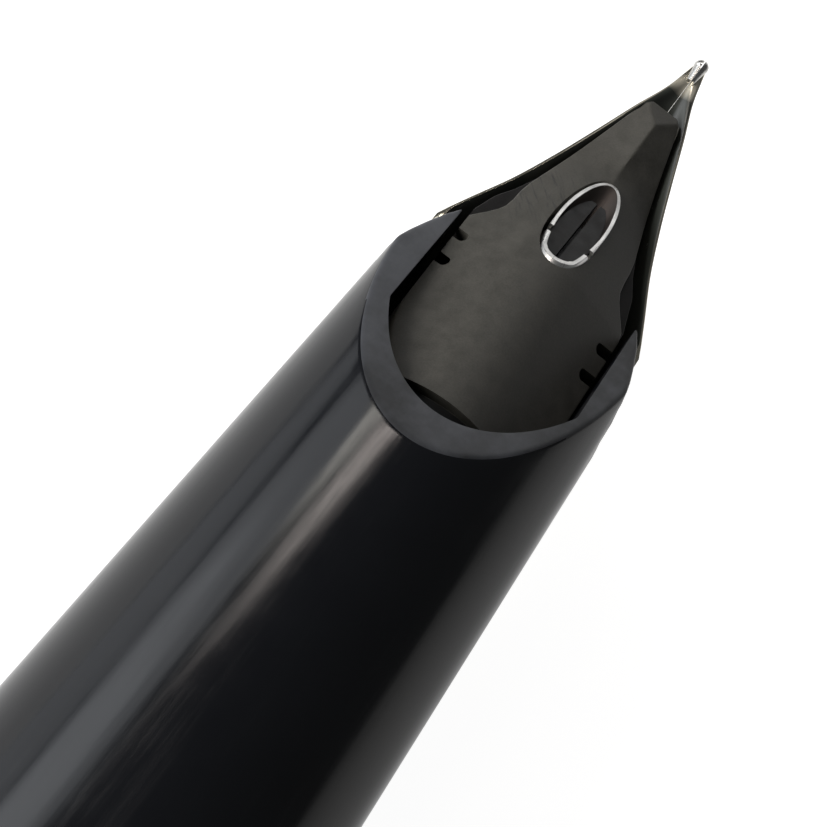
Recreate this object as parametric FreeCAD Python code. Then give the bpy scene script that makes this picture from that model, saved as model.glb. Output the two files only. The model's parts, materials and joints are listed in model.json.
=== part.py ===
import FreeCAD, Part
import math
import os

# Fountain pen with an inlaid nib and a retractable filling tube.
# Units are millimetres. +X runs along the pen to the nib's tip, +Z points to the feed side,
# and the origin is on the pen's axis in the middle of the trim ring.

V = FreeCAD.Vector
ALONG = V(1, 0, 0)
FAR = 9.0                       # reaches past the pen on every side

# Driving dimensions -------------------------------------------------------------------------
GRIP_TAPER = 0.050              # radius lost per millimetre of section
RIM_X = 24.5                    # station at which the section's radius is given
RIM_R = 5.42
MOUTH_Z = 5.363                 # height of the slanted mouth's plane at that station
MOUTH_SLOPE = 0.518             # drop of the mouth's plane per millimetre forward
MOUTH_BORE_R = 4.57             # channel that holds the feed
MOUTH_CROWN_R = 4.845           # its wider upper side at the mouth
MOUTH_CROWN_Y = -0.137
MOUTH_CROWN_Z = -0.25
MOUTH_FLAT = 3.775              # the channel's flat cheeks, from the axis
MOUTH_ROLL = 4.2                # degrees that the cheeks are turned
MOUTH_FLAT_REAR_X = 22.0        # behind here the channel is round
CARRIAGE_BORE_R = 4.95          # room for the carriage's flange behind the channel
CARRIAGE_BORE_X = 16.2          # where that room ends
NIB_WINDOW_X = 27.0             # ahead of here the section is open over the middle of the nib
HORN_X = 35.2                   # where the section's two horns end and the nib's wings begin
NIB_REAR_X = 16.5               # rear point of the inlaid nib
NIB_TIP_X = 47.3
NIB_WALL = 0.32
NIB_EDGE = 0.13                 # the sheet is ground thinner at its free edges
NIB_SLIT = 0.05
PELLET_R = 0.30                 # hard-metal pellet under the tip
HORN_ANGLE = math.radians(70)   # half-angle that the nib wraps at the horns
NIB_FULL_X = 34.0               # from here forward the inlaid nib wraps its full angle
INLAY_FIT = 0.04                # gap between the nib and its recess in the section
NIB_ROLL = 3.0                  # degrees that the nib is set turned against the mouth

FEED_SLOPE = 0.3624             # rear underside of the feed, and the cut end of the filling tube
FEED_STEEP_SLOPE = 0.4033       # underside around the tube's mouth
FEED_BEND_X = 34.9              # where one slope gives way to the other
FEED_BEND_Z = 1.03
FEED_PITCH = math.radians(27)   # fall of the underside to either side of its rounded ridge
FEED_RIDGE_R = 3.0
TUBE_CUT_X = 37.40              # where the tube's slanted cut crosses the axis
TUBE_R = 0.975
TUBE_BORE_R = 0.845
TUBE_HEEL_X = 35.45             # behind here the cut is steeper
TUBE_HEEL_Z = 0.70
TUBE_HEEL_SLOPE = 0.72
TUBE_SAW_X = 36.20              # a saw slot across the cut end
TUBE_SAW_WIDTH = 0.34
TUBE_SAW_Z = -0.25

FEED_R = 4.02
FEED_ROUND_Y = -0.32            # the feed lies against one side of its channel
FEED_FLAT = 3.56                # the feed's flat cheeks, from its middle
FEED_OFF_Y = -0.09              # where that middle lies
FEED_ROLL = 6.0                 # degrees that the feed is turned against the mouth
FEED_REAR_X = 19.8
FEED_NOSE_X = 44.6
FEED_CHANNEL_R = 1.06
FEED_CHANNEL_Y = 0.07           # the channel is drilled a little off the tube's centre
FEED_GAP = 0.05                 # between the feed and the nib's inner face
SPINE_X = 38.6                  # start of the narrow ridge ahead of the tube
SPINE_Z = -1.02
SPINE_SLOPE = 0.082
SPINE_PITCH = math.radians(21)
SPINE_R = 0.12
COMB_PITCH = 1.48
COMB_COUNT = 2
COMB_FRONT_X = 33.83
COMB_SKEW = 0.15                # left slots sit this far forward of the mean, right slots behind it
COMB_WIDTH = 0.50
COMB_ROOT_Y = 3.00
COMB_SLANT = 18.0               # degrees that the slots lean towards the nib, going outwards
COMB_FLOOR_Z = -2.6
INK_SLIT = 0.20
INK_SLIT_Z = -1.9

RING_R = 6.75
RING_HALF = 0.9                 # half the ring's length
BARREL_R = 6.62
BARREL_LEAD_X = -2.4            # the barrel narrows a little from here to the trim ring
BARREL_TAPER_X = -34.0          # the barrel is a plain cylinder as far back as this
BARREL_END_X = -60.0
BARREL_END_R = 5.98
BARREL_BORE_R = 5.20
SLEEVE_REAR_X = -9.0
SLEEVE_FRONT_X = 5.6
SLEEVE_R = 5.55
SLEEVE_SEAT_R = 5.60            # counterbores in section and barrel for the connector sleeve
KNOB_GAP = 0.30
KNOB_END_X = -82.0
KNOB_END_R = 4.75

PLUNGER_R = 4.50
PLUNGER_BORE_R = 4.25
PLUNGER_FRONT_X = -12.6
PLUNGER_REAR_X = -67.0
PROTECTOR_R = 3.90
PROTECTOR_BORE_R = 3.70
FLANGE_FRONT_X = 3.0
FLANGE_THICK = 1.2
SCREW_R = 1.90
SEAT_FRONT_X = -11.0
SPRING_WIRE_R = 0.25
SPRING_COIL_R = 4.30
SPRING_TURNS = 9

RUNNING = 0.05                  # radial clearance of the fits that slide or turn


def grip_r(x):
    return RIM_R + GRIP_TAPER * (RIM_X - x)


def rod(x0, x1, radius):
    return Part.makeCylinder(radius, x1 - x0, V(x0, 0, 0), ALONG)


def pipe(x0, x1, outer, inner):
    return rod(x0, x1, outer).cut(rod(x0 - 1, x1 + 1, inner))


def cone(x0, x1, r0, r1):
    return Part.makeCone(r0, r1, x1 - x0, V(x0, 0, 0), ALONG)


def box(x0, x1, y0, y1, z0, z1):
    return Part.makeBox(x1 - x0, y1 - y0, z1 - z0, V(x0, y0, z0))


def torus(x, ring_r, wire_r):
    return Part.makeTorus(ring_r, wire_r, V(x, 0, 0), ALONG)


def turned(points):
    # a solid of revolution about the pen's axis, from (x, radius) corners
    ring = [V(x, 0, r) for x, r in points]
    face = Part.Face(Part.makePolygon(ring + ring[:1]))
    return face.revolve(V(0, 0, 0), ALONG, 360)


def below_slope(x_on_axis, z_on_axis, slope, x0, x1):
    # everything under a plane that falls towards the nib
    def height(x):
        return z_on_axis - slope * (x - x_on_axis)
    corners = [V(x0, -FAR, height(x0)), V(x1, -FAR, height(x1)), V(x1, -FAR, -3 * FAR), V(x0, -FAR, -3 * FAR)]
    face = Part.Face(Part.makePolygon(corners + corners[:1]))
    return face.extrude(V(0, 2 * FAR, 0))


def rolled(shape, degrees):
    shape.rotate(V(0, 0, 0), ALONG, degrees)
    return shape


def plan_prism(outline, z0, z1):
    # outline: (x, half width) from rear to front, mirrored about the pen's middle plane
    left = [V(x, y, z0) for x, y in outline]
    right = [V(x, -y, z0) for x, y in reversed(outline)]
    corners = left + right
    face = Part.Face(Part.makePolygon(corners + corners[:1]))
    return face.extrude(V(0, 0, z1 - z0))


# Section and nib ----------------------------------------------------------------------------
def nib_wedge(margin):
    # the angular sector, open towards -Z, that the inlaid rear of the nib fills
    def sector(x):
        part = min(1.0, (x - NIB_REAR_X) / (NIB_FULL_X - NIB_REAR_X))
        angle = HORN_ANGLE * part ** 0.85 + margin / RIM_R
        half = FAR * math.tan(angle)
        corners = [V(x, 0, 0), V(x, half, -FAR), V(x, -half, -FAR)]
        return Part.makePolygon(corners + corners[:1])
    steps = 24
    reach = HORN_X - NIB_REAR_X
    stations = [NIB_REAR_X + reach * (0.004 + 0.996 * i / steps) for i in range(steps + 1)]
    return Part.makeLoft([sector(x) for x in stations], True, True)


def grip_cone(inset, x0, x1):
    return cone(x0, x1, grip_r(x0) - inset, grip_r(x1) - inset)


def section_shell():
    front = HORN_X + 0.2
    body = grip_cone(0, RING_HALF, front)
    rear_counterbore = rod(-1, SLEEVE_FRONT_X + 0.2, SLEEVE_SEAT_R)
    carriage_bore = rod(-1, CARRIAGE_BORE_X, CARRIAGE_BORE_R)
    channel = rod(CARRIAGE_BORE_X - 0.2, front + 1, MOUTH_BORE_R)
    crown = rod(MOUTH_FLAT_REAR_X, front + 1, MOUTH_CROWN_R)
    crown.translate(V(0, MOUTH_CROWN_Y, MOUTH_CROWN_Z))
    crown = crown.common(box(MOUTH_FLAT_REAR_X, front + 1, -FAR, FAR, 0, FAR))
    cheeks = rolled(box(MOUTH_FLAT_REAR_X, front + 1, -MOUTH_FLAT, MOUTH_FLAT, -FAR, FAR), MOUTH_ROLL)
    behind = box(CARRIAGE_BORE_X - 1, MOUTH_FLAT_REAR_X, -FAR, FAR, -FAR, FAR)
    channel = channel.fuse(crown).common(cheeks.fuse(behind))
    body = body.cut(rear_counterbore).cut(carriage_bore).cut(channel)
    body = body.common(below_slope(RIM_X, MOUTH_Z, MOUTH_SLOPE, -5, 60))
    # towards the horns the flanks are drawn in, in plan
    horns = [(-5, FAR), (29.5, FAR), (29.5, 5.20), (30.5, 5.10), (31.5, 4.97), (32.3, 4.84), (33.0, 4.68)]
    horns += [(33.8, 4.45), (34.6, 4.17), (35.2, 3.86), (35.4, 3.4)]
    body = body.common(plan_prism(horns, -FAR, FAR))
    # recess for the nib's inlaid rear, and the open window under its middle
    wedge = rolled(nib_wedge(INLAY_FIT), NIB_ROLL)
    recess = grip_cone(-1, NIB_REAR_X, front).cut(grip_cone(NIB_WALL + INLAY_FIT, 10, front + 2))
    body = body.cut(wedge.common(recess))
    window = wedge.common(rod(NIB_WINDOW_X, front + 1, FAR))
    ahead = rolled(box(HORN_X, front + 1, -FAR, FAR, -FAR, -1.15), NIB_ROLL)
    return body.cut(window).cut(ahead)


# The nib ahead of the horns: x, half width, height of its edge, height of its keel line.
NIB_STATIONS = [
    (HORN_X, grip_r(HORN_X) * math.sin(HORN_ANGLE), -grip_r(HORN_X) * math.cos(HORN_ANGLE), -grip_r(HORN_X)),
    (36.6, 3.95, -1.70, -4.56),
    (38.2, 3.20, -1.74, -4.20),
    (40.2, 2.44, -1.81, -3.75),
    (42.2, 1.78, -1.92, -3.30),
    (44.2, 1.15, -2.04, -2.88),
    (45.8, 0.60, -2.13, -2.53),
    (NIB_TIP_X, 0.27, -2.18, -2.32),
]


def nib_arc(station, inset):
    # centre height, radius and half-angle of a cross-section of the nib's sheet
    x, half, edge_z, keel_z = station
    rise = edge_z - keel_z
    radius = (half ** 2 + rise ** 2) / (2 * rise)
    centre_z = keel_z + radius
    angle = math.atan2(half, centre_z - edge_z)
    return x, centre_z, radius - inset, angle


def arc_edge(x, centre_z, radius, angle):
    side_y = radius * math.sin(angle)
    side_z = centre_z - radius * math.cos(angle)
    ends = (V(x, side_y, side_z), V(x, -side_y, side_z))
    return Part.Arc(ends[0], V(x, 0, centre_z - radius), ends[1]).toShape(), ends


def nib_wall(station):
    # the sheet thins where the nib narrows to its tip
    x, half, edge_z, keel_z = station
    return min(NIB_WALL, 0.9 * (edge_z - keel_z) + 0.08)


def nib_section(station):
    x, centre_z, radius, angle = nib_arc(station, 0)
    outer, outer_ends = arc_edge(x, centre_z, radius, angle)
    edge = NIB_WALL if x == HORN_X else NIB_EDGE
    inner_ends = [V(x, side * (radius - edge) * math.sin(angle), centre_z - (radius - edge) * math.cos(angle))
                  for side in (1, -1)]
    middle = V(x, 0, centre_z - radius + nib_wall(station))
    inner = Part.Arc(inner_ends[0], middle, inner_ends[1]).toShape()
    sides = [Part.makeLine(outer_ends[1], inner_ends[1]), Part.makeLine(inner_ends[0], outer_ends[0])]
    return Part.Wire([outer, sides[0], inner, sides[1]])


def nib_sheet():
    inlay = grip_cone(0, NIB_REAR_X, HORN_X).cut(grip_cone(NIB_WALL, NIB_REAR_X - 1, HORN_X + 1))
    inlay = inlay.common(nib_wedge(0))
    blade = Part.makeLoft([nib_section(s) for s in NIB_STATIONS], True, False)
    slit = box(38.5, NIB_TIP_X + 1, -NIB_SLIT / 2, NIB_SLIT / 2, -FAR, FAR)
    return inlay.fuse(blade).removeSplitter().cut(slit)


def nib():
    return rolled(nib_sheet(), NIB_ROLL)


def nib_tipping():
    # a small pellet of hard metal welded under the tip and slit with it
    x, half, edge_z, keel_z = NIB_STATIONS[-1]
    pellet = Part.makeSphere(PELLET_R, V(x, 0, keel_z + 0.8 * PELLET_R))
    neck = Part.makeCone(0.6 * PELLET_R, 0.93 * PELLET_R, 0.8, V(x - 0.85, 0, keel_z + 0.8 * PELLET_R), ALONG)
    slit = box(x - 3, x + 2, -NIB_SLIT / 2, NIB_SLIT / 2, -FAR, FAR)
    return rolled(pellet.fuse(neck).cut(nib_sheet()).cut(slit), NIB_ROLL)


# Feed ---------------------------------------------------------------------------------------
def roof(x0, z0, slope, length, pitch, ridge_r):
    # a long prism with a rounded ridge at its top, falling towards the nib
    fall = math.atan(slope)
    forward = V(math.cos(fall), 0, -math.sin(fall))
    upward = V(math.sin(fall), 0, math.cos(fall))
    start = V(x0, 0, z0)

    def at(y, n):
        return start + V(0, y, 0) + upward * n
    knee_y = ridge_r * math.sin(pitch)
    knee_n = -ridge_r * (1 - math.cos(pitch))
    eave_n = knee_n - (FAR - knee_y) * math.tan(pitch)
    ridge = Part.Arc(at(-knee_y, knee_n), at(0, 0), at(knee_y, knee_n)).toShape()
    path = [at(knee_y, knee_n), at(FAR, eave_n), at(FAR, -2 * FAR), at(-FAR, -2 * FAR), at(-FAR, eave_n)]
    path.append(at(-knee_y, knee_n))
    face = Part.Face(Part.Wire([ridge] + Part.makePolygon(path).Edges))
    return face.extrude(forward * length)


def nib_cavity(gap):
    # the space over the nib's inner face, open upwards
    wires = []
    for station in NIB_STATIONS:
        x, centre_z, radius, angle = nib_arc(station, nib_wall(station) + gap)
        arc, ends = arc_edge(x, centre_z, radius, angle)
        shelf_z = ends[0].z + 0.05
        left, right = V(x, FAR, shelf_z), V(x, -FAR, shelf_z)
        corners = [ends[1], right, V(x, -FAR, FAR), V(x, FAR, FAR), left, ends[0]]
        wires.append(Part.Wire([arc] + Part.makePolygon(corners).Edges))
    return Part.makeLoft(wires, True, True)


def feed_crown():
    # the falling rear, slightly steeper around the tube, and the narrow spine that leads to the nose
    def falling(slope):
        rear_x = 8
        rear_z = FEED_BEND_Z + slope * (FEED_BEND_X - rear_x)
        return roof(rear_x, rear_z, slope, 45, FEED_PITCH, FEED_RIDGE_R)
    gentle = falling(FEED_SLOPE)
    steep = falling(FEED_STEEP_SLOPE)
    spine = roof(SPINE_X, SPINE_Z, SPINE_SLOPE, 8, SPINE_PITCH, SPINE_R)
    return gentle.common(steep).fuse(spine)


def comb_slots():
    slots = []
    for i in range(COMB_COUNT):
        for side in (-1, 1):
            x = COMB_FRONT_X - COMB_PITCH * i + side * COMB_SKEW
            y0, y1 = sorted((side * COMB_ROOT_Y, side * FAR))
            slot = box(x - COMB_WIDTH / 2, x + COMB_WIDTH / 2, y0, y1, COMB_FLOOR_Z, FAR)
            slot.rotate(V(x, side * COMB_ROOT_Y, 0), V(0, 0, 1), -side * COMB_SLANT)
            slots.append(slot)
    return slots


def feed():
    # seen from below: straight sides in the section, a hollow shoulder, then a long taper
    body = [(FEED_REAR_X, 3.70), (34.7, 3.62), (35.15, 3.52), (35.45, 3.30), (35.8, 3.02), (36.15, 2.78)]
    body += [(36.5, 2.62), (37.0, 2.55), (37.6, 2.52), (38.2, 2.42), (44.3, 0.82), (FEED_NOSE_X, 0.58)]
    wings = [(FEED_REAR_X, 3.70), (35.3, 3.60), (36.8, 3.15), (37.6, 2.72), (38.6, 2.32), (43.0, 0.65)]
    upper = plan_prism(body, -FAR, FAR).common(feed_crown())
    lower = plan_prism(wings, -FAR, FAR).common(below_slope(35.0, -0.80, 0.16, 10, 60))
    shape = upper.fuse(lower).common(below_slope(43.5, -1.40, 0.39, 10, 60))
    for slot in comb_slots():
        shape = shape.cut(slot)
    # the round blank it is cut from, with flat cheeks, and the room inside the nib
    blank = rod(FEED_REAR_X, FEED_NOSE_X, FEED_R)
    blank.translate(V(0, FEED_ROUND_Y, 0))
    left, right = FEED_OFF_Y - FEED_FLAT, FEED_OFF_Y + FEED_FLAT
    blank = blank.common(box(FEED_REAR_X, FEED_NOSE_X, left, right, -FAR, FAR))
    inside_nib = nib_cavity(FEED_GAP).fuse(box(FEED_REAR_X - 1, HORN_X, -FAR, FAR, -FAR, FAR))
    shape = rolled(shape.common(blank), FEED_ROLL).common(rolled(inside_nib, NIB_ROLL))
    channel = rod(FEED_REAR_X - 1, FEED_NOSE_X + 2, FEED_CHANNEL_R)
    channel.translate(V(0, FEED_CHANNEL_Y, 0))
    ink_slit = box(FEED_REAR_X - 1, FEED_NOSE_X + 1, -INK_SLIT / 2, INK_SLIT / 2, -FAR, INK_SLIT_Z)
    return shape.cut(channel).cut(rolled(ink_slit, NIB_ROLL)).removeSplitter()


# Fixed inner parts --------------------------------------------------------------------------
def gasket_holder():
    return rod(16.25, 19.6, MOUTH_BORE_R - RUNNING).cut(rod(17.0, 20, 2.4)).cut(rod(16, 18, 1.25))


def tube_gasket():
    return pipe(17.0, 18.6, 2.38, TUBE_R + 0.02)


def gasket_retainer():
    return pipe(18.6, 19.6, 2.38, 1.25)


def section_gasket():
    return torus(-0.6, 5.98, 0.30)


def trim_ring():
    bevel = 0.1
    ring = turned([(-RING_HALF, 5.62), (-RING_HALF, RING_R - bevel), (bevel - RING_HALF, RING_R),
                   (RING_HALF - bevel, RING_R), (RING_HALF, RING_R - bevel), (RING_HALF, 5.62)])
    gasket_groove = pipe(-RING_HALF - 0.05, -0.25, 6.30, 5.0)
    return ring.cut(gasket_groove)


def connector_sleeve():
    return pipe(SLEEVE_REAR_X, SLEEVE_FRONT_X, SLEEVE_R, 4.75)


def barrel_shell():
    # turned in one piece: tapered tail, plain middle and a slight lead-in behind the trim ring
    outline = [(BARREL_END_X, BARREL_BORE_R), (BARREL_END_X, BARREL_END_R), (BARREL_TAPER_X, BARREL_R),
               (BARREL_LEAD_X, BARREL_R), (-RING_HALF, BARREL_R - 0.08), (-RING_HALF, SLEEVE_SEAT_R),
               (SLEEVE_REAR_X - 0.2, SLEEVE_SEAT_R), (SLEEVE_REAR_X - 0.2, BARREL_BORE_R)]
    return turned(outline)


def spring_seat():
    return pipe(SEAT_FRONT_X - 1.2, SEAT_FRONT_X, BARREL_BORE_R - 0.02, PROTECTOR_R + 0.1)


def extension_spring():
    # pushes the carriage forward; drawn at its compressed length as a run of short helical arcs
    x0 = SEAT_FRONT_X + SPRING_WIRE_R + 0.02
    x1 = FLANGE_FRONT_X - FLANGE_THICK - SPRING_WIRE_R - 0.02
    arcs_per_turn = 4

    def on_coil(turn):
        angle = 2 * math.pi * turn
        x = x0 + (x1 - x0) * turn / SPRING_TURNS
        return V(x, SPRING_COIL_R * math.cos(angle), SPRING_COIL_R * math.sin(angle))
    path = []
    for i in range(SPRING_TURNS * arcs_per_turn):
        ends_and_middle = [on_coil((i + part) / arcs_per_turn) for part in (0, 0.5, 1)]
        path.append(Part.Arc(*ends_and_middle).toShape())
    start = path[0].tangentAt(path[0].FirstParameter)
    wire_end = Part.Wire(Part.makeCircle(SPRING_WIRE_R, on_coil(0), start))
    return Part.Wire(path).makePipeShell([wire_end], True, False)


def barrel_end_bush():
    return pipe(BARREL_END_X, BARREL_END_X + 2.6, BARREL_BORE_R - 0.02, PLUNGER_R + RUNNING)


def packing_o_ring():
    return torus(BARREL_END_X + 3.0, 4.86, 0.32)


def packing_washer():
    return pipe(BARREL_END_X + 3.4, BARREL_END_X + 4.0, BARREL_BORE_R - 0.02, PLUNGER_R + RUNNING)


# Carriage with the filling tube ---------------------------------------------------------------
def snorkel_tube():
    # the slanted cut is steeper at its heel, and a saw slot crosses it
    cut = below_slope(TUBE_CUT_X, 0, FEED_SLOPE, -10, 60)
    heel = below_slope(TUBE_HEEL_X, TUBE_HEEL_Z, TUBE_HEEL_SLOPE, -10, 60)
    saw_slot = box(TUBE_SAW_X, TUBE_SAW_X + TUBE_SAW_WIDTH, -2, 2, TUBE_SAW_Z, 3)
    ahead_of_heel = box(TUBE_HEEL_X, 60, -FAR, FAR, -FAR, FAR)
    behind_heel = box(-10, TUBE_HEEL_X, -FAR, FAR, -FAR, FAR)
    end = cut.common(ahead_of_heel).fuse(heel.common(behind_heel))
    return pipe(-4.5, 42, TUBE_R, TUBE_BORE_R).common(end).cut(saw_slot).removeSplitter()


def tube_inner_feed():
    # an ink-fed core, cut back behind the tube's end and slit along its middle
    core = rod(-4.0, 38.90, TUBE_BORE_R - 0.03)
    core = core.common(below_slope(TUBE_CUT_X, -0.22, FEED_SLOPE, -10, 60))
    slit = box(-5, 60, -0.07, 0.07, -FAR, FAR).cut(below_slope(TUBE_CUT_X, -0.70, FEED_SLOPE, -10, 60))
    return core.cut(slit)


def sac_plug():
    plug = rod(-2.0, 3.6, PROTECTOR_BORE_R - 0.02).fuse(rod(-6.0, -2.0, 2.85))
    return plug.cut(rod(-7, 5, TUBE_R))


def ink_sac():
    tail = Part.makeSphere(3.3, V(-44.0, 0, 0)).cut(Part.makeSphere(2.88, V(-44.0, 0, 0)))
    tail = tail.common(rod(-50, -44.0, 4))
    return pipe(-44.0, -2.1, 3.3, 2.88).fuse(tail).removeSplitter()


def sac_protector():
    # a vented metal tube with the flange that the spring pushes
    flange = rod(FLANGE_FRONT_X - FLANGE_THICK, FLANGE_FRONT_X, CARRIAGE_BORE_R - 0.33)
    body = rod(-50.0, FLANGE_FRONT_X, PROTECTOR_R).fuse(flange)
    body = body.cut(rod(-51, 4, PROTECTOR_BORE_R))
    for i in range(4):
        slot = box(-46 + 10.5 * i, -42 + 10.5 * i, -0.6, 0.6, -FAR, FAR)
        body = body.cut(slot)
    return body


def carriage_screw():
    # a cap that closes the protector, a spigot inside it and the long screw behind
    cap = rod(-52.0, -50.0, PROTECTOR_R)
    spigot = rod(-50.0, -48.6, PROTECTOR_BORE_R - 0.02)
    screw = rod(-68.5, -52.0, SCREW_R)
    return cap.fuse(spigot).fuse(screw)


# Plunger ------------------------------------------------------------------------------------
def plunger_tube():
    body = pipe(PLUNGER_REAR_X, PLUNGER_FRONT_X, PLUNGER_R, PLUNGER_BORE_R)
    collar = pipe(PLUNGER_REAR_X, PLUNGER_REAR_X + 1.3, PLUNGER_R, 2.55)
    return body.fuse(collar).removeSplitter()


def plunger_head():
    head = pipe(PLUNGER_FRONT_X - 3.4, PLUNGER_FRONT_X - 0.1, BARREL_BORE_R - RUNNING, PLUNGER_R)
    return head.cut(pipe(PLUNGER_FRONT_X - 2.4, PLUNGER_FRONT_X - 1.2, FAR, BARREL_BORE_R - 0.45))


def swivel_washer():
    return pipe(PLUNGER_REAR_X + 1.35, PLUNGER_REAR_X + 1.75, 4.05, 2.60)


# Filler knob --------------------------------------------------------------------------------
def knob_shell():
    front = BARREL_END_X - KNOB_GAP
    dome_depth = 1.6
    dome_r = 8.0
    body = cone(KNOB_END_X + dome_depth, front, KNOB_END_R, BARREL_END_R - 0.03)
    dome = Part.makeSphere(dome_r, V(KNOB_END_X + dome_r, 0, 0))
    body = body.fuse(dome.common(rod(KNOB_END_X - 1, KNOB_END_X + dome_depth, KNOB_END_R))).removeSplitter()
    rims = [e for e in body.Edges if e.Closed and KNOB_END_X < e.BoundBox.XMin and e.BoundBox.XMax < -79]
    body = body.makeFillet(1.1, rims)
    tube_room = rod(PLUNGER_REAR_X - 0.35, front + 1, PLUNGER_R + 0.2)
    stem_hole = rod(-72.0, front, 2.50)
    return body.cut(tube_room).cut(stem_hole)


def knob_nut():
    # head inside the plunger tube, stem through its collar and into the knob
    head = rod(PLUNGER_REAR_X + 1.8, PLUNGER_REAR_X + 4.6, 3.60)
    stem = rod(-71.0, PLUNGER_REAR_X + 1.8, 2.48)
    return head.fuse(stem).cut(rod(-73, -55, SCREW_R + 0.08))


NODES = [section_shell, nib, nib_tipping, feed, gasket_holder, tube_gasket, gasket_retainer, section_gasket,
         trim_ring, connector_sleeve, barrel_shell, spring_seat, extension_spring, barrel_end_bush,
         packing_o_ring, packing_washer, snorkel_tube, tube_inner_feed, sac_plug, ink_sac, sac_protector,
         carriage_screw, plunger_tube, plunger_head, swivel_washer, knob_shell, knob_nut]

os.makedirs("parts", exist_ok=True)
for make in NODES:
    shape = make()
    shape.exportStep("parts/" + make.__name__ + ".step")
    print(make.__name__, len(shape.Solids), shape.isValid(), round(shape.Volume, 2))
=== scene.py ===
import json
import math

import bmesh
import bpy
import numpy as np
from mathutils import Matrix, Vector


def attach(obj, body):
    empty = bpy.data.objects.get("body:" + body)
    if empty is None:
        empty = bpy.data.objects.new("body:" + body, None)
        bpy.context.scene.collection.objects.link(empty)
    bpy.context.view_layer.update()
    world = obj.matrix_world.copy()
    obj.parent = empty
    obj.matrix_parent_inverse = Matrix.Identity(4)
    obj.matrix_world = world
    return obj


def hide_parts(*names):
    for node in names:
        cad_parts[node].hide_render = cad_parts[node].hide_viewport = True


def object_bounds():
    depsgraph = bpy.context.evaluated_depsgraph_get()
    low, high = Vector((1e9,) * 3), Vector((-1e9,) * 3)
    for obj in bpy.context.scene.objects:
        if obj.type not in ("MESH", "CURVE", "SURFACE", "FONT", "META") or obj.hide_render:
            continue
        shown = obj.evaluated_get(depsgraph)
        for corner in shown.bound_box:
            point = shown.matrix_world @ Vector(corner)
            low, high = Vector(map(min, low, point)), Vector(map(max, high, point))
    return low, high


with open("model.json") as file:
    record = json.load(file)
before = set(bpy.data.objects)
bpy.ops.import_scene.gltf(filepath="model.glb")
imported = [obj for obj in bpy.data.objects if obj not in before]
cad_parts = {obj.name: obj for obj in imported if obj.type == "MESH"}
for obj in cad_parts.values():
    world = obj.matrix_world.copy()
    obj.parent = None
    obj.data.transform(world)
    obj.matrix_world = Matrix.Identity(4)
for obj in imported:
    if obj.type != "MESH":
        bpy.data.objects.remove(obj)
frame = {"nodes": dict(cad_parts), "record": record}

MM = 0.001
cad_low, cad_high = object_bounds()
nodes = frame["nodes"]
scene = bpy.context.scene

# Shape facts of the pen, in millimetres. +X runs to the nib's tip and +Z to the feed side.
# Section: its radius at one station, its taper, the mouth's plane and the channel behind the mouth
RIM_X, RIM_R, GRIP_TAPER = 24.5, 5.42, 0.050
MOUTH_Z, MOUTH_SLOPE = 5.363, 0.518
MOUTH_BORE_R, MOUTH_FLAT, MOUTH_FLAT_REAR_X = 4.57, 3.775, 22.0
CROWN_R, CROWN_Y, CROWN_Z = 4.845, -0.137, -0.25
CARRIAGE_BORE_X, CARRIAGE_BORE_R = 16.2, 4.95
COUNTERBORE_X, COUNTERBORE_R = 5.8, 5.6
RING_FRONT_X = 0.9
# the two horns in plan: x and half width
HORN_PLAN = ((29.3, 5.20), (29.5, 5.18), (30.5, 5.10), (31.5, 4.97), (32.3, 4.84), (33.0, 4.68),
             (33.8, 4.45), (34.6, 4.17), (35.2, 3.86), (35.4, 3.4))

# Nib: its inlaid rear and, ahead of the horns, x, half width, height of its edge, height of its keel line
NIB_REAR_X, NIB_FULL_X, HORN_X, HORN_ANGLE = 16.5, 34.0, 35.2, math.radians(70)
NIB_TIP_X, INLAY_FIT = 47.3, 0.04
NIB_WALL, NIB_EDGE = 0.32, 0.12
HORN_R = RIM_R + GRIP_TAPER * (RIM_X - HORN_X)
NIB_STATIONS = ((HORN_X, HORN_R * math.sin(HORN_ANGLE), -HORN_R * math.cos(HORN_ANGLE), -HORN_R),
                (36.6, 3.95, -1.70, -4.56), (38.2, 3.20, -1.74, -4.20), (40.2, 2.44, -1.81, -3.75),
                (42.2, 1.78, -1.92, -3.30), (44.2, 1.15, -2.04, -2.88), (45.8, 0.60, -2.13, -2.53),
                (NIB_TIP_X, 0.27, -2.18, -2.32))

# Feed: round blank with two cheeks, shoulder under the lip, falling rear, spine, nose and lower part.
# The shoulder is the mesh's own, and the CAD feed keeps its full radius there.
FEED_R, FEED_ROUND_Y, FEED_FLAT, FEED_OFF_Y = 4.02, -0.32, 3.56, -0.09
SHOULDER_X, SHOULDER_R, FEED_BASE_Z = 26.8, 3.4, -2.6
BEND_X, BEND_Z, FALL, STEEP_FALL = 34.9, 1.03, 0.3624, 0.4033
FALL_PITCH, FALL_RIDGE_R = math.radians(27), 3.0
SPINE_X, SPINE_Z, SPINE_FALL, SPINE_PITCH, SPINE_R = 38.6, -1.02, 0.082, math.radians(21), 0.12
NOSE_X, NOSE_Z, NOSE_FALL, NOSE_TIP_X = 43.5, -1.40, 0.39, 44.6
WING_X, WING_Z, WING_FALL = 35.0, -0.80, 0.16
CHANNEL_R, CHANNEL_Y = 1.06, 0.07
COMB_FRONT_X, COMB_PITCH, COMB_SKEW, COMB_COUNT = 33.83, 1.48, 0.15, 2
COMB_ROOT_Y, COMB_HALF, COMB_SLANT = 3.0, 0.25, math.radians(18)
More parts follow.
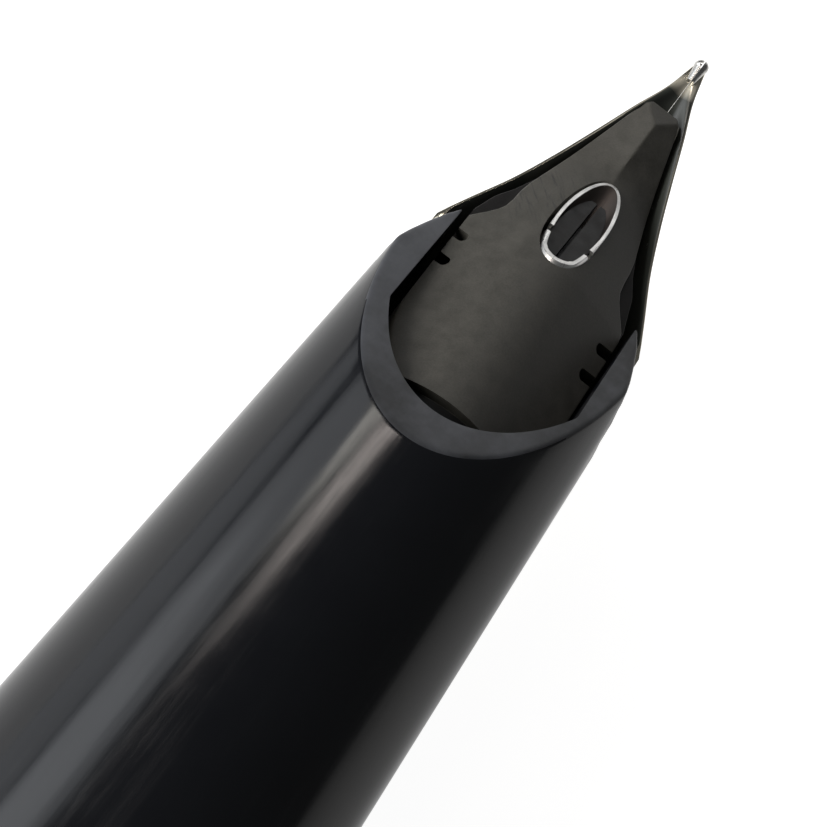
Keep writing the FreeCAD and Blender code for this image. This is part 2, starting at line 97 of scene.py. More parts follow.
# seen from below: x and half width
BODY_PLAN = ((19.8, 3.70), (34.7, 3.62), (35.15, 3.52), (35.45, 3.30), (35.8, 3.02), (36.15, 2.78),
             (36.5, 2.62), (37.0, 2.55), (37.6, 2.52), (38.2, 2.42), (44.3, 0.82), (NOSE_TIP_X, 0.58))
WING_PLAN = ((19.8, 3.70), (35.3, 3.60), (36.8, 3.15), (37.6, 2.72), (38.6, 2.32), (43.0, 0.65))

# Filling tube: its slanted cut, the steeper heel of the cut and the saw slot across it
TUBE_R, TUBE_LIP_R, TUBE_REAR_X = 0.975, 0.825, -4.5
TUBE_CUT_X, TUBE_SLOPE = 37.40, 0.3624
HEEL_X, HEEL_Z, HEEL_SLOPE = 35.45, 0.70, 0.72
SAW_X, SAW_HALF, SAW_Z = 36.37, 0.17, -0.25

# how far mouth, nib and feed are turned about the pen's axis
MOUTH_ROLL, NIB_ROLL, FEED_ROLL = math.radians(4.2), math.radians(3), math.radians(6)
# the six sides of a box whose corners are counted through x, y, z with z fastest
BOX_FACES = ((0, 1, 3, 2), (4, 6, 7, 5), (0, 4, 5, 1), (2, 3, 7, 6), (0, 2, 6, 4), (1, 5, 7, 3))


# Node materials -------------------------------------------------------------------------------
class Look:
    """A node material under construction: a Principled shader plus helpers that add and link nodes."""

    def __init__(self, name, roughness=0.5, metallic=0.0, ior=1.5):
        self.made = bpy.data.materials.new(name)
        self.made.use_nodes = True
        self.tree = self.made.node_tree
        self.shader = self.tree.nodes["Principled BSDF"]
        self.set("Roughness", roughness)
        self.set("Metallic", metallic)
        self.set("IOR", ior)
        coords = self.tree.nodes.new("ShaderNodeTexCoord")
        self.place = coords.outputs["Object"]
        self.normal = coords.outputs["Normal"]

    def set(self, socket, value):
        self.shader.inputs[socket].default_value = value

    def link(self, output, socket):
        self.tree.links.new(output, self.shader.inputs[socket])

    def node(self, kind, **inputs):
        made = self.tree.nodes.new(kind)
        for name, value in inputs.items():
            self.feed(made.inputs[name.replace("_", " ")], value)
        return made

    def feed(self, socket, value):
        if isinstance(value, bpy.types.NodeSocket):
            self.tree.links.new(value, socket)
        else:
            socket.default_value = value

    def math(self, operation, a, b=0.0):
        made = self.tree.nodes.new("ShaderNodeMath")
        made.operation = operation
        self.feed(made.inputs[0], a)
        self.feed(made.inputs[1], b)
        return made.outputs[0]

    def parts(self, vector):
        return self.node("ShaderNodeSeparateXYZ", Vector=vector).outputs

    def stretched(self, x, y, z, turn=0.0):
        aimed = self.node("ShaderNodeVectorRotate", Vector=self.place, Angle=turn)
        made = self.node("ShaderNodeMapping", Vector=aimed.outputs[0])
        made.inputs["Scale"].default_value = (x, y, z)
        return made.outputs[0]

    def noise(self, where, scale, detail=4.0, rough=0.55):
        made = self.node("ShaderNodeTexNoise", Vector=where, Scale=scale, Detail=detail, Roughness=rough)
        return made.outputs["Fac"]

    def spread(self, value, low, high, to_low=0.0, to_high=1.0):
        made = self.tree.nodes.new("ShaderNodeMapRange")
        for name, number in (("Value", value), ("From Min", low), ("From Max", high),
                             ("To Min", to_low), ("To Max", to_high)):
            self.feed(made.inputs[name], number)
        return made.outputs[0]

    def mix(self, share, low, high):
        made = self.tree.nodes.new("ShaderNodeMix")
        made.data_type = "RGBA"
        self.feed(made.inputs["Factor"], share)
        for socket, colour in ((made.inputs[6], low), (made.inputs[7], high)):
            self.feed(socket, colour if isinstance(colour, bpy.types.NodeSocket) else (*colour, 1))
        return made.outputs[2]

    def reach(self, y, z):
        """Distance from the pen's axis."""
        return self.math("SQRT", self.math("ADD", self.math("MULTIPLY", y, y), self.math("MULTIPLY", z, z)))

    def bump(self, height, depth, strength=1.0):
        made = self.node("ShaderNodeBump", Height=height, Distance=depth, Strength=strength)
        self.link(made.outputs[0], "Normal")


def shell_black(name, satin):
    """Polished black plastic with faint wear; satin is its roughness."""
    look = Look(name, ior=1.49)
    handling = look.noise(look.place, 420.0)
    streaks = look.noise(look.stretched(60, 1400, 1400), 1.0, 6.0)
    hairlines = look.noise(look.stretched(110, 9000, 9000), 1.0, 4.0, 0.6)
    scuffs = look.noise(look.stretched(900, 2600, 2600), 1.0, 8.0, 0.7)
    look.link(look.mix(handling, (0.0032, 0.0035, 0.0048), (0.0055, 0.006, 0.0075)), "Base Color")
    base = look.spread(handling, 0.3, 0.7, satin * 0.85, satin * 1.2)
    wear_mottle_and_painted_light = look.math("ADD", look.spread(streaks, 0.5, 0.7, 0.0, 0.10),
                     look.spread(hairlines, 0.5, 0.7, 0.0, 0.05))
    look.link(look.math("ADD", base, wear_mottle_and_painted_light), "Roughness")
    height = look.math("ADD", look.math("MULTIPLY", streaks, 0.6), look.math("MULTIPLY", scuffs, 0.4))
    height = look.math("ADD", height, look.math("MULTIPLY", hairlines, 0.45))
    look.bump(height, 0.000005, 0.5)
    return look.made


def cut_lip():
    """The satin cut face of the mouth: the same plastic, unpolished and bluish, with painted light that makes
    it paler on its lit +Y side.
    """
    look = Look("cut_lip", ior=1.49)
    cloud = look.noise(look.place, 380.0, 6.0, 0.62)
    fine = look.noise(look.stretched(2500, 5000, 2500), 1.0, 4.0)
    y = look.parts(look.place)["Y"]
    # random mottle plus painted light: paler towards +Y, the side the light comes from
    wear_mottle_and_painted_light = look.math("ADD", look.spread(cloud, 0.34, 0.66), look.spread(y, -0.004, 0.004, -0.45, 0.25))
    look.link(look.mix(wear_mottle_and_painted_light, (0.013, 0.014, 0.016), (0.054, 0.057, 0.066)), "Base Color")
    look.link(look.spread(fine, 0.3, 0.7, 0.36, 0.5), "Roughness")
    look.bump(look.math("ADD", cloud, look.math("MULTIPLY", fine, 0.4)), 0.00001, 0.5)
    return look.made


def feed_black():
    """Machined hard rubber: matte brownish black, file marks beside the tube, painted shade behind the
    shoulder.
    """
    look = Look("feed_black", ior=1.5)
    x, y, _ = look.parts(look.place)
    mottle = look.noise(look.place, 1500.0, 6.0, 0.65)
    speckle = look.noise(look.place, 14000.0, 3.0)
    cuts = look.noise(look.stretched(700, 9000, 700), 1.0, 3.0)
    filed = look.noise(look.stretched(900, 8000, 900, -0.66), 1.0, 3.0, 0.6)
    here = look.math("MULTIPLY", look.spread(x, 0.0358, 0.0372), look.spread(x, 0.0388, 0.0405, 1.0, 0.0))
    here = look.math("MULTIPLY", here, look.spread(y, 0.0005, 0.0012))
    marks = look.math("MULTIPLY", here, look.spread(filed, 0.52, 0.66))
    # painted shade: behind the shoulder, under the lip, the feed is painted near black
    painted_shade_behind_shoulder = look.spread(x, (SHOULDER_X - 0.03) * MM, (SHOULDER_X - 0.01) * MM, 1.0, 0.0)
    grime = look.math("ADD", look.math("MULTIPLY", mottle, 0.6), look.math("MULTIPLY", speckle, 0.4))
    stain = look.spread(grime, 0.38, 0.64)
    dry = look.mix(stain, (0.030, 0.0285, 0.0235), (0.050, 0.047, 0.040))
    filed_black = look.mix(look.math("MULTIPLY", marks, 0.7), dry, (0.010, 0.010, 0.010))
    look.link(look.mix(painted_shade_behind_shoulder, filed_black, (0.002, 0.002, 0.002)), "Base Color")
    look.link(look.spread(mottle, 0.3, 0.7, 0.42, 0.58), "Roughness")
    relief = look.math("ADD", look.math("MULTIPLY", speckle, 0.4), look.math("MULTIPLY", cuts, 0.5))
    look.bump(look.math("SUBTRACT", relief, look.math("MULTIPLY", marks, 1.2)), 0.00001, 0.5)
    return look.made


def painted_shade_black():
    """Hard rubber painted near black as shade for the deep wings and the core in the tube; glossier than the
    dry face.
    """
    look = Look("feed_painted_shade", ior=1.45)
    # mottle within the painted shade
    shade_mottle = look.noise(look.place, 1800.0, 4.0)
    look.link(look.mix(shade_mottle, (0.003, 0.003, 0.003), (0.009, 0.008, 0.008)), "Base Color")
    look.link(look.spread(shade_mottle, 0.3, 0.7, 0.35, 0.55), "Roughness")
    look.bump(shade_mottle, 0.00002, 0.6)
    return look.made


def nib_gold():
    """Pale polished gold outside and along the edges; the inner face is near black and not metallic."""
    look = Look("nib_gold", metallic=1.0)
    x, y, z = look.parts(look.place)
    _, ny, nz = look.parts(look.normal)
    reach = look.reach(y, z)
    facing = look.math("ADD", look.math("MULTIPLY", y, ny), look.math("MULTIPLY", z, nz))
    inward = look.math("DIVIDE", look.math("MULTIPLY", facing, -1.0), reach)
    # near black and not metallic on the inner face that faces the axis
    dark_inside = look.spread(inward, 0.45, 0.75)
    tip = look.spread(x, 0.0457, 0.0467)
    dark_inside = look.math("MULTIPLY", dark_inside, look.math("SUBTRACT", 1.0, tip))
    ripple = look.noise(look.stretched(300, 3000, 3000), 1.0, 5.0)
    gold = look.mix(ripple, (0.84, 0.76, 0.60), (0.95, 0.90, 0.77))
    look.link(look.mix(dark_inside, gold, (0.028, 0.030, 0.026)), "Base Color")
    look.link(look.math("SUBTRACT", 1.0, dark_inside), "Metallic")
    polish = look.spread(ripple, 0.3, 0.7, 0.10, 0.2)
    look.link(look.math("ADD", polish, look.math("MULTIPLY", dark_inside, 0.08)), "Roughness")
    look.bump(ripple, 0.000003, 0.5)
    return look.made


def metal(name, low, high, roughness, streak, depth=0.000002):
    """Turned or drawn metal, with streaks along or around the pen."""
    look = Look(name, metallic=1.0)
    lines = look.noise(look.stretched(*streak), 1.0, 5.0)
    look.link(look.mix(lines, low, high), "Base Color")
    look.link(look.spread(lines, 0.3, 0.7, roughness * 0.75, roughness * 1.35), "Roughness")
    look.bump(lines, depth, 0.5)
    return look.made


def dull(name, low, high, roughness, scale, depth):
    """Plain moulded rubber or plastic."""
    look = Look(name)
    cloud = look.noise(look.place, scale, 5.0)
    look.link(look.mix(cloud, low, high), "Base Color")
    look.link(look.spread(cloud, 0.3, 0.7, roughness * 0.85, roughness * 1.15), "Roughness")
    look.bump(cloud, depth, 0.6)
    return look.made


def drawn_tube():
    """Drawn steel, bright outside and on its cut rim, near black inside."""
    look = Look("steel_tube", metallic=1.0)
    _, y, z = look.parts(look.place)
    reach = look.reach(y, z)
    lines = look.noise(look.stretched(*ALONG), 1.0, 5.0)
    # near black inside the bore
    dark_inside = look.spread(reach, 0.000832, 0.000850, 1.0, 0.0)
    steel = look.mix(lines, (0.80, 0.79, 0.77), (0.95, 0.94, 0.92))
    look.link(look.mix(dark_inside, steel, (0.07, 0.06, 0.055)), "Base Color")
    satin = look.spread(lines, 0.3, 0.7, 0.26, 0.4)
    look.link(look.math("ADD", satin, look.math("MULTIPLY", dark_inside, 0.12)), "Roughness")
    look.bump(lines, 0.000002, 0.5)
    return look.made


# how finely a metal's streaks repeat along X, Y and Z
ALONG, AROUND, EVENLY = (200, 6000, 6000), (9000, 300, 300), (4000, 4000, 4000)
looks = {
    "shell_black": shell_black("shell_black", 0.13),
    "feed_black": feed_black(),
    "nib_gold": nib_gold(),
    "tipping_metal": metal("tipping_metal", (0.55, 0.54, 0.52), (0.74, 0.73, 0.70), 0.26, EVENLY),
    "steel_tube": drawn_tube(),
    "trim_metal": metal("trim_metal", (0.80, 0.72, 0.55), (0.90, 0.83, 0.68), 0.12, AROUND),
    "plunger_metal": metal("plunger_metal", (0.70, 0.70, 0.71), (0.82, 0.82, 0.83), 0.12, ALONG),
    "inner_metal": metal("inner_metal", (0.66, 0.67, 0.69), (0.78, 0.79, 0.81), 0.28, AROUND),
    "spring_steel": metal("spring_steel", (0.52, 0.52, 0.54), (0.68, 0.68, 0.70), 0.25, EVENLY),
    "brass_plain": metal("brass_plain", (0.68, 0.50, 0.24), (0.82, 0.66, 0.38), 0.25, AROUND),
    "seal_rubber": dull("seal_rubber", (0.018, 0.018, 0.019), (0.035, 0.035, 0.036), 0.6, 2500.0, 0.00001),
    "sac_rubber": dull("sac_rubber", (0.035, 0.03, 0.026), (0.06, 0.055, 0.05), 0.5, 1500.0, 0.00001),
    "inner_plastic": dull("inner_plastic", (0.05, 0.046, 0.042), (0.09, 0.085, 0.08), 0.45, 1200.0, 0.000005),
}
slot_of = {s["node"]: s["material_slot"] for s in frame["record"]["subparts"]}
for node, slot in slot_of.items():
    held = nodes[node].data
    held.materials.clear()
    held.materials.append(looks[slot])


# Mesh pieces ------------------------------------------------------------------------------------
def piece(name, points, faces, node, smooth_angle=35.0):
    """A mesh piece, from points in millimetres, that stands for one CAD node and rides on its body."""
    mesh = bpy.data.meshes.new(name)
    mesh.from_pydata([tuple(c * MM for c in p) for p in points], [], faces)
    mesh.validate()
    outward(mesh)
    made = bpy.data.objects.new(name, mesh)
    scene.collection.objects.link(made)
    slot = slot_of[node]
    mesh.materials.append(looks[slot])
    body = next(b for b, members in frame["record"]["behaviour"]["bodies"].items() if node in members)
    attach(made, body)
    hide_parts(node)
    soften(made, smooth_angle)
    return made


def soften(made, angle):
    for polygon in made.data.polygons:
        polygon.use_smooth = True
    bpy.context.view_layer.objects.active = made
    made.select_set(True)
    bpy.ops.object.shade_smooth_by_angle(angle=math.radians(angle))
    made.select_set(False)


def loops_to_faces(rows, columns, closed_rows, closed_columns):
    """Quads over a grid of rows x columns points, optionally closed either way."""
    faces = []
    for i in range(rows if closed_rows else rows - 1):
        for j in range(columns if closed_columns else columns - 1):
            a, b = i * columns + j, i * columns + (j + 1) % columns
            c, d = ((i + 1) % rows) * columns + (j + 1) % columns, ((i + 1) % rows) * columns + j
            faces.append((a, b, c, d))
    return faces


def grip_r(x):
    return RIM_R + GRIP_TAPER * (RIM_X - x)


def rolled(y, z, turn):
    """Nib and feed sit turned by a few degrees against the mouth."""
    return y * math.cos(turn) - z * math.sin(turn), y * math.sin(turn) + z * math.cos(turn)


def corner(before, at, after, cut, steps=4):
    """Points that round the corner at `at` of a polyline in (x, r), starting `cut` away on either side."""
    back, on = np.subtract(before, at), np.subtract(after, at)
    start = at + back * min(0.45, cut / max(np.hypot(*back), 1e-9))
    end = at + on * min(0.45, cut / max(np.hypot(*on), 1e-9))
    shares = [i / steps for i in range(steps + 1)]
    return [(1 - t) ** 2 * start + 2 * t * (1 - t) * np.array(at) + t * t * end for t in shares]


def around(profile_at, angles):
    """Points and faces of a closed skin whose (x, r) profile changes with the angle from +Z towards +Y."""
    columns = [profile_at(a) for a in angles]
    points = [(x, r * math.sin(a), r * math.cos(a)) for a, column in zip(angles, columns) for x, r in column]
    return points, loops_to_faces(len(angles), len(columns[0]), True, True)


def outward(mesh):
    """Turns every face of a closed mesh outwards."""
    work = bmesh.new()
    work.from_mesh(mesh)
    bmesh.ops.recalc_face_normals(work, faces=work.faces)
    work.to_mesh(mesh)
    work.free()


def subtract(made, name, points, faces):
    """Cuts a closed mesh, in millimetres, out of a piece."""
    mesh = bpy.data.meshes.new(name)
    mesh.from_pydata([tuple(c * MM for c in p) for p in points], [], faces)
    outward(mesh)
    tool = bpy.data.objects.new(name, mesh)
    scene.collection.objects.link(tool)
    cutter = made.modifiers.new(name, "BOOLEAN")
    cutter.operation, cutter.solver, cutter.object = "DIFFERENCE", "EXACT", tool
    bpy.context.view_layer.update()
    baked = bpy.data.meshes.new_from_object(made.evaluated_get(bpy.context.evaluated_depsgraph_get()))
    made.modifiers.clear()
    made.data = baked
    bpy.data.objects.remove(tool)


def block(x0, x1, y0, y1, z0, z1):
    return [(x, y, z) for x in (x0, x1) for y in (y0, y1) for z in (z0, z1)], BOX_FACES


# Section ------------------------------------------------------------------------------------
def channel_radius(angle):
    """Reach of the feed's channel at the mouth: round below, wider above, with two flat cheeks."""
    up, across = math.cos(angle), math.sin(angle)
    along = across * CROWN_Y + up * CROWN_Z
    crown = along + math.sqrt(along ** 2 - CROWN_Y ** 2 - CROWN_Z ** 2 + CROWN_R ** 2)
    round_part = max(MOUTH_BORE_R, crown) if up > 0 else MOUTH_BORE_R
    return min(round_part, MOUTH_FLAT / max(abs(math.sin(angle + MOUTH_ROLL)), 1e-6))


def section_profile(angle):
    up, side = math.cos(angle), abs(math.sin(angle))
    bore = channel_radius(angle)
    from_below = abs(math.pi - angle - NIB_ROLL)
    inlay = (from_below - INLAY_FIT / RIM_R) / HORN_ANGLE
    reach = HORN_X if inlay >= 1 else NIB_REAR_X + (NIB_FULL_X - NIB_REAR_X) * max(inlay, 0.0) ** (1 / 0.85)
    mouth_outside = RIM_X + (MOUTH_Z - RIM_R * up) / (MOUTH_SLOPE - GRIP_TAPER * up)
    mouth_inside = RIM_X + (MOUTH_Z - bore * up) / MOUTH_SLOPE
    end_out, end_in = min(mouth_outside, reach), min(mouth_inside, reach)

    def outer(x):
        plan = np.interp(x, [p[0] for p in HORN_PLAN], [p[1] for p in HORN_PLAN])
        return min(grip_r(x), plan / max(side, 1e-6)) if x > HORN_PLAN[0][0] else grip_r(x)

    rear = RING_FRONT_X
    profile = [(rear + 0.06, grip_r(rear))]
    stops = (0.2, 0.4, 0.6, 0.75, 0.86, 0.93, 0.97)
    profile += [(rear + (end_out - rear) * s, outer(rear + (end_out - rear) * s)) for s in stops]
    tip = (end_out, outer(end_out))
    inner_tip = (end_in, bore)
    profile += corner(profile[-1], tip, inner_tip, 0.26, 6)
    profile += corner(tip, inner_tip, (CARRIAGE_BORE_X, bore), 0.05, 3)
    step = min(MOUTH_FLAT_REAR_X, end_in - 0.1)
    profile += [(step, bore), (step, MOUTH_BORE_R), (CARRIAGE_BORE_X, MOUTH_BORE_R)]
    profile += [(CARRIAGE_BORE_X, CARRIAGE_BORE_R), (COUNTERBORE_X, CARRIAGE_BORE_R)]
    return profile + [(COUNTERBORE_X, COUNTERBORE_R), (rear, COUNTERBORE_R), (rear, grip_r(rear) - 0.06)]


def full_turn(steps, first=0.0):
    return [2 * math.pi * (i + first) / steps for i in range(steps)]


section = piece("section", *around(section_profile, full_turn(420, 0.5)), "section_shell", 30)
section.data.materials.append(cut_lip())
for polygon in section.data.polygons:
    middle, up = polygon.center / MM, polygon.normal
    drop = middle.z - (MOUTH_Z - MOUTH_SLOPE * (middle.x - RIM_X))
    if abs(drop) < 0.12 and up.z > 0.6 and up.x > 0.2:
        polygon.material_index = 1


# Nib --------------------------------------------------------------------------------------------
def curve_through(xs, values, x):
    """A smooth curve through points, by cubic pieces with averaged slopes."""
    slopes = np.gradient(values, xs)
    i = int(np.clip(np.searchsorted(xs, x) - 1, 0, len(xs) - 2))
    span = xs[i + 1] - xs[i]
    t = (x - xs[i]) / span
    return float((2 * t ** 3 - 3 * t * t + 1) * values[i] + (t ** 3 - 2 * t * t + t) * span * slopes[i]
                 + (3 * t * t - 2 * t ** 3) * values[i + 1] + (t ** 3 - t * t) * span * slopes[i + 1])


STATION_X = np.array([s[0] for s in NIB_STATIONS])


def nib_shape(x):
    """Half width, edge height, keel height, radius and centre height of the nib's outer arc."""
    if x < HORN_X:
        radius, centre = grip_r(x), 0.0
        angle = HORN_ANGLE * min(1.0, (x - NIB_REAR_X) / (NIB_FULL_X - NIB_REAR_X)) ** 0.85
        return radius * math.sin(angle), -radius * math.cos(angle), -radius, radius, centre
    columns = (np.array([s[i] for s in NIB_STATIONS]) for i in (1, 2, 3))
    half, edge, keel = (curve_through(STATION_X, column, x) for column in columns)
    rise = edge - keel
    radius = (half ** 2 + rise ** 2) / (2 * rise)
    return half, edge, keel, radius, keel + radius


def nib_thickness(edge, keel):
    return min(NIB_WALL, 0.9 * (edge - keel) + 0.08)


def nib_row(x, across=40):
    half, edge, keel, radius, centre = nib_shape(x)
    angle = math.atan2(half, centre - edge)
    wall = nib_thickness(edge, keel)
    free = min(max((x - HORN_X) / 0.5, 0.0), 1.0)
    rim = wall + (min(NIB_EDGE, 0.7 * wall) - wall) * free
    outer = [(radius * math.sin(a), centre - radius * math.cos(a))
             for a in [angle * (1 - 2 * i / across) for i in range(across + 1)]]
    inner = []
    for i in range(across + 1):
        share = 2 * i / across - 1
        depth = rim + (wall - rim) * (1 - share ** 4) ** 0.5
        within = radius - depth
        inner.append((within * math.sin(angle * share), centre - within * math.cos(angle * share)))
    lean = 0.015 * free
    first, last = inner[0], inner[-1]
    inner[0] = (first[0], first[1] + lean)
    inner[-1] = (last[0], last[1] + lean)
    ring = outer + inner
    count = len(ring)
    rounded = []
    for k, (y, z) in enumerate(ring):
        if k in (0, across, across + 1, count - 1):
            before, after = np.array(ring[k - 1]), np.array(ring[(k + 1) % count])
            at = np.array((y, z))
            nearer = 0.3 * rim
            start = at + (before - at) * min(0.4, nearer / max(np.hypot(*(before - at)), 1e-9))
            end = at + (after - at) * min(0.4, nearer / max(np.hypot(*(after - at)), 1e-9))
            rounded += [start, start * 0.25 + at * 0.5 + end * 0.25, end]
        else:
            rounded.append(np.array((y, z)))
    return [(x, *rolled(float(y), float(z), NIB_ROLL)) for y, z in rounded]


def capped(rows):
    """A closed skin over equal rings of points, with flat ends."""
    ring = len(rows[0])
    faces = loops_to_faces(len(rows), ring, False, True)
    last = (len(rows) - 1) * ring
    faces += [tuple(reversed(range(ring))), tuple(range(last, last + ring))]
    return [p for row in rows for p in row], faces


def slit_tool(x0, x1, rear_half, front_half):
    """An upright blade through the nib, as wide as twice rear_half at x0 and twice front_half at x1."""
    points = [(x, *rolled(side * half, z, NIB_ROLL)) for x, half in ((x0, rear_half), (x1, front_half))
              for side in (-1, 1) for z in (-6.0, 0.0)]
    return points, BOX_FACES


def stations(first, last, step, extra=()):
    count = max(2, round((last - first) / step))
    return sorted({round(first + (last - first) * i / count, 4) for i in range(count + 1)} | set(extra))


nib_x = stations(NIB_REAR_X + 0.12, HORN_X - 0.3, 0.5) + stations(HORN_X, NIB_TIP_X, 0.15)
nib = piece("nib_sheet", *capped([nib_row(x) for x in nib_x]), "nib", 30)
subtract(nib, "slit", *slit_tool(38.5, 48.5, 0.009, 0.004))
soften(nib, 30)


# Feed ---------------------------------------------------------------------------------------
def plan_width(plan, x):
    return float(np.interp(x, [p[0] for p in plan], [p[1] for p in plan]))


def crown(y, pitch, ridge_r, fall):
    """How far a rounded ridge has dropped at y, measured straight down."""
    knee = ridge_r * math.sin(pitch)
    a = abs(y)
    if a < knee:
        drop = ridge_r - math.sqrt(ridge_r * ridge_r - a * a)
    else:
        drop = ridge_r * (1 - math.cos(pitch)) + (a - knee) * math.tan(pitch)
    return drop * math.hypot(1, fall)


def soft_max(a, b, width):
    share = max(width - abs(a - b), 0.0) / width
    return max(a, b) + share * share * width * 0.25


def feed_top(x, y):
    """Height of the feed's face: the falling rear, steeper past the bend, then the spine and the nose."""
    rear = min(BEND_Z + FALL * (BEND_X - x), BEND_Z - STEEP_FALL * (x - BEND_X))
    rear -= crown(y, FALL_PITCH, FALL_RIDGE_R, FALL)
    spine = SPINE_Z - SPINE_FALL * (x - SPINE_X) - crown(y, SPINE_PITCH, SPINE_R, SPINE_FALL)
    return min(soft_max(rear, spine, 0.30), NOSE_Z - NOSE_FALL * (x - NOSE_X))


def wing_top(x, y):
    """Height of the feed's lower part, which shows on both sides of its face."""
    return min(WING_Z - WING_FALL * (x - WING_X), feed_top(x, min(abs(y), plan_width(BODY_PLAN, x))) - 0.02)


def nib_floor(x, y):
    """Height just over the nib's inner face."""
    if x < HORN_X:
        return FEED_BASE_Z
    half, edge, keel, radius, centre = nib_shape(x)
    inner = radius - nib_thickness(edge, keel) - 0.05
    return centre - math.sqrt(max(inner * inner - y * y, 0.01))


def in_blank(x, y, z):
    """Keeps a point of the feed's upper side within its round, flat-cheeked blank, then turns it."""
    y = min(max(y, FEED_OFF_Y - FEED_FLAT), FEED_OFF_Y + FEED_FLAT)
    radius = FEED_R if x >= SHOULDER_X else SHOULDER_R
    limit = math.sqrt(max(radius ** 2 - (y - FEED_ROUND_Y) ** 2, 0.2))
    return rolled(y, min(z, limit), FEED_ROLL)


def crest(plan, top, xs, edge_r, across):
    """A closed block under a height field, within a plan outline, with rounded upper edges."""
    shares = [math.sin(math.pi / 2 * (2 * i / across - 1)) for i in range(across + 1)]
    rim = (0.0, 0.12, 0.35, 0.7)
    rows = []
    for x in xs:
        width = plan_width(plan, x)
        inside = max(width - edge_r, 0.01)
        over = [(-inside - edge_r * (1 - e), e) for e in rim] + [(inside * s, 1.0) for s in shares]
        over += [(inside + edge_r * (1 - e), e) for e in reversed(rim)]
        row = []
        for y, e in over:
            drop = edge_r * (1 - math.sqrt(max(1 - (1 - e) ** 2, 0)))
            z = max(top(x, y) - drop, nib_floor(x, y) + 0.02)
            row.append((x, *in_blank(x, y, z)))
        under = [(x, *in_blank(x, y, min(nib_floor(x, y), top(x, y) - 0.1))) for y, e in reversed(over)]
        rows.append(row + under)
    return capped(rows)


def slot_tool(x, side):
    """A saw slot from the side, leaning forward, with a rounded inner end."""
    outline = [(-COMB_HALF, 3.0), (COMB_HALF, 3.0)]
    half_turn = [math.pi * i / 8 for i in range(9)]
    outline += [(COMB_HALF * math.cos(a), COMB_HALF * 0.6 * (1 - math.sin(a))) for a in half_turn]
    count = len(outline)
    points = []
    for z in (FEED_BASE_Z, 5.0):
        for across, out in outline:
            px = x + across * math.cos(COMB_SLANT) + out * math.sin(COMB_SLANT)
            py = COMB_ROOT_Y + out * math.cos(COMB_SLANT) - across * math.sin(COMB_SLANT)
            points.append((px, *rolled(side * py, z, FEED_ROLL)))
    faces = [tuple(range(count)), tuple(reversed(range(count, 2 * count)))]
    faces += [(i, count + i, count + (i + 1) % count, (i + 1) % count) for i in range(count)]
    return points, faces


bends = [p[0] for p in BODY_PLAN[1:]] + [SHOULDER_X - 0.004, SHOULDER_X]
body_x = stations(21.0, NOSE_TIP_X, 0.09, bends)
feed = piece("feed_body", *crest(BODY_PLAN, feed_top, body_x, 0.045, 72), "feed", 28)
bore = [[(x, CHANNEL_Y + CHANNEL_R * math.sin(a), CHANNEL_R * math.cos(a)) for a in full_turn(96)]
        for x in (19.0, 46.0)]
subtract(feed, "channel", *capped(bore))
for i in range(COMB_COUNT):
    for side in (-1, 1):
        subtract(feed, "slot", *slot_tool(COMB_FRONT_X - COMB_PITCH * i + side * COMB_SKEW, side))
soften(feed, 28)

# painted shade: the deep wings and the core inside the tube get near-black rubber
painted_shade_rubber = painted_shade_black()
wings = piece("feed_wings", *crest(WING_PLAN, wing_top, stations(34.0, 43.0, 0.12), 0.03, 24), "feed", 28)
wings.data.materials.clear()
wings.data.materials.append(painted_shade_rubber)
nodes["tube_inner_feed"].data.materials[0] = painted_shade_rubber


# Filling tube -------------------------------------------------------------------------------
def tube_profile(angle):
    """The cut end's outer and inner rims, and the tube's wall behind them."""
    def rim(radius):
        z = radius * math.cos(angle)
        return HEEL_X + (HEEL_Z - z) / HEEL_SLOPE if z > HEEL_Z else TUBE_CUT_X - z / TUBE_SLOPE

    outside, lip = rim(TUBE_R), 0.20
    inside = outside + max(-lip, min(lip, rim(TUBE_LIP_R) - outside))
    profile = [(TUBE_REAR_X, TUBE_R - 0.03), (TUBE_REAR_X + 0.03, TUBE_R)]
    profile += [(20.0, TUBE_R), (outside - 0.4, TUBE_R)]
    profile += corner(profile[-1], (outside, TUBE_R), (inside, TUBE_LIP_R), 0.04, 3)
    profile += corner((outside, TUBE_R), (inside, TUBE_LIP_R), (inside - 0.4, TUBE_LIP_R), 0.03, 3)
    return profile + [(inside - 0.4, TUBE_LIP_R), (20.0, TUBE_LIP_R), (TUBE_REAR_X, TUBE_LIP_R)]


tube = piece("filling_tube", *around(tube_profile, full_turn(160)), "snorkel_tube", 30)
subtract(tube, "saw_slot", *block(SAW_X - SAW_HALF, SAW_X + SAW_HALF, -2, 2, SAW_Z, 3))
soften(tube, 30)


# Camera -------------------------------------------------------------------------------------
def make_camera():
    """A long lens close over the mouth; right, up and back are its own three directions."""
    place = (-0.005058, -0.005689, 0.074851)
    right, upward = Vector((0.5515, -0.8168, 0.1690)).normalized(), Vector((0.7335, 0.5714, 0.3680))
    back = right.cross(upward).normalized()
    up = back.cross(right)
    lens = bpy.data.cameras.new("camera")
    lens.sensor_width = 36.0
    lens.lens = 102.89
    lens.clip_start, lens.clip_end = 0.001, 20
    made = bpy.data.objects.new("camera", lens)
    turn = Matrix(((right.x, up.x, back.x), (right.y, up.y, back.y), (right.z, up.z, back.z))).to_4x4()
    made.matrix_world = Matrix.Translation(place) @ turn
    scene.collection.objects.link(made)
    scene.camera = made


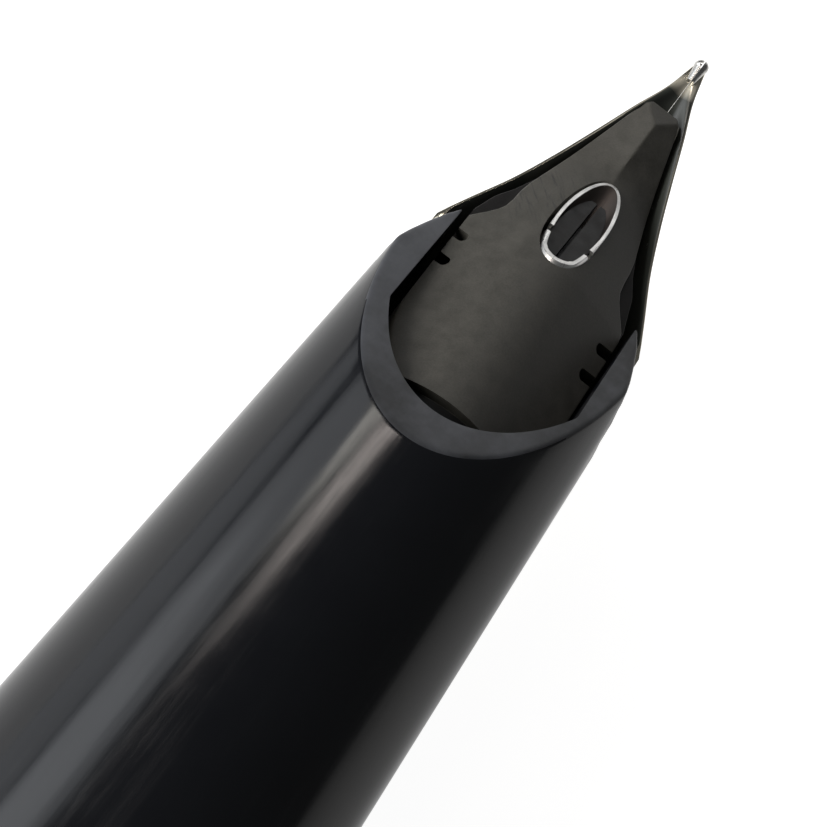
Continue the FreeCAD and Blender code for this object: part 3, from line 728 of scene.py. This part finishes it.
# Floor and light ----------------------------------------------------------------------------
def make_floor():
    mesh = bpy.data.meshes.new("floor")
    reach, z = 3.0, cad_low.z
    corners = [(-reach, -reach, z), (reach, -reach, z), (reach, reach, z), (-reach, reach, z)]
    mesh.from_pydata(corners, [], [(0, 1, 2, 3)])
    made = bpy.data.objects.new("floor", mesh)
    scene.collection.objects.link(made)
    paper = Look("floor", roughness=0.9)
    grain = paper.noise(paper.place, 300.0, 4.0)
    paper.link(paper.mix(grain, (0.29, 0.29, 0.29), (0.31, 0.31, 0.31)), "Base Color")
    paper.set("Emission Color", (1, 1, 1, 1))
    # seen directly it is blown out; in reflections it is brighter close to the pen and on the lit side
    y = paper.parts(paper.place)["Y"]
    near = paper.math("DIVIDE", 0.0030, paper.math("MAXIMUM", paper.math("ABSOLUTE", y), 0.006))
    glow = paper.math("ADD", near, paper.spread(y, 0.0, 0.006, 0.07, 0.24))
    seen = paper.tree.nodes.new("ShaderNodeLightPath").outputs["Is Camera Ray"]
    paper.link(paper.math("MAXIMUM", paper.math("MULTIPLY", seen, 0.95), glow), "Emission Strength")
    mesh.materials.append(paper.made)


def soft_box(name, azimuth, elevation, wide, tall, radiance, colour=(1, 1, 1), shape="ELLIPSE"):
    """A flat light that covers wide x tall degrees as the pen sees it, at a bearing from +X towards +Y."""
    distance = 0.6
    a, e = math.radians(azimuth), math.radians(elevation)
    direction = Vector((math.cos(a) * math.cos(e), math.sin(a) * math.cos(e), math.sin(e)))
    lamp = bpy.data.lights.new(name, "AREA")
    lamp.shape = shape
    lamp.size = 2 * distance * math.tan(math.radians(wide / 2))
    lamp.size_y = 2 * distance * math.tan(math.radians(tall / 2))
    lamp.energy = radiance * math.pi * lamp.size * lamp.size_y
    lamp.color = colour
    made = bpy.data.objects.new(name, lamp)
    made.location = direction * distance
    made.rotation_mode = "QUATERNION"
    made.rotation_quaternion = direction.to_track_quat("Z", "Y")
    scene.collection.objects.link(made)


def make_room():
    world = bpy.data.worlds.new("room")
    world.use_nodes = True
    tree = world.node_tree
    tree.nodes["Background"].inputs["Color"].default_value = (0.95, 0.98, 1.0, 1)
    tree.nodes["Background"].inputs["Strength"].default_value = 0.07
    scene.world = world
    soft_box("window_front", 68, 36, 36, 30, 1.0, (0.93, 0.96, 1.0))
    soft_box("window_core", 74, 35, 24, 22, 0.7, (0.93, 0.96, 1.0))
    soft_box("window_back", 114, 32, 50, 38, 9.0, (1.0, 0.99, 0.97))
    soft_box("window_low", 74, 10, 36, 20, 0.7, (0.93, 0.96, 1.0))
    soft_box("lamp", 30, 54, 18, 7, 5.0, (1.0, 0.91, 0.86))
    soft_box("rim_light", 40, 45, 14, 8, 4.0, (1.0, 0.97, 0.9))
    soft_box("fill_front", 0, 12, 50, 12, 0.6, shape="RECTANGLE")
    soft_box("front_high", 4, 21, 24, 8, 1.2)


make_floor()
make_room()
make_camera()
scene.view_settings.view_transform = "Standard"
